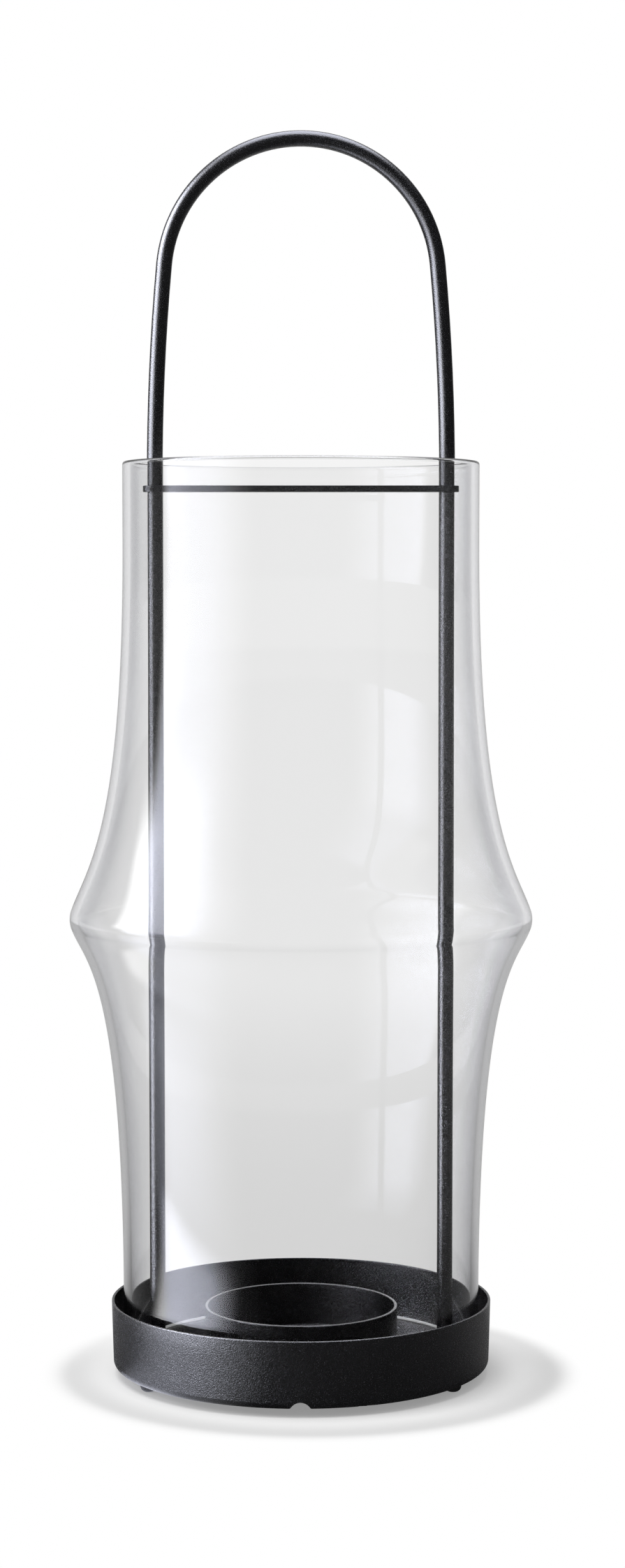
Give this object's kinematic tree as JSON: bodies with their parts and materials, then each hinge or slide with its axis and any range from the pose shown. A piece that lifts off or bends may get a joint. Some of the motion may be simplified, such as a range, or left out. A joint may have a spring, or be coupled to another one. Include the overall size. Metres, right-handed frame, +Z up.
{
  "type": "hurricane candle lantern",
  "caption": "Open-topped hurricane lantern: a bellied glass chimney stands in a round black steel tray with a candle cup, under an arched rod handle.",
  "frame": {"origin": "on the tray's axis at the height of the feet's soles", "axes": "+Z up along the tray's axis, -Y the front with the drain notch, +X along the crossbar to the right"},
  "size_m": [0.175, 0.1748, 0.469],
  "materials": {
    "powder_coat": "satin textured powder coat",
    "handle_coat": "satin powder coat",
    "clear_glass": "clear, polished",
    "screw_steel": "zinc plated",
    "foot_rubber": "matte"
  },
  "bodies": {
    "frame": {"tray_wall": "powder_coat", "floor_plate": "powder_coat", "candle_cup": "powder_coat", "leg_left": "handle_coat", "leg_right": "handle_coat", "handle": "handle_coat", "crossbar": "handle_coat", "leg_screw_left": "screw_steel", "leg_screw_right": "screw_steel", "leg_washer_left": "screw_steel", "leg_washer_right": "screw_steel", "foot_left": "foot_rubber", "foot_right": "foot_rubber", "foot_rear": "foot_rubber"},
    "chimney": {"glass_chimney": "clear_glass"}
  },
  "joints": [
    {"name": "chimney_lift", "type": "slide", "parent": "frame", "child": "chimney", "axis": [0, 0, 1], "range_m": [0, 0.47]}
  ]
}
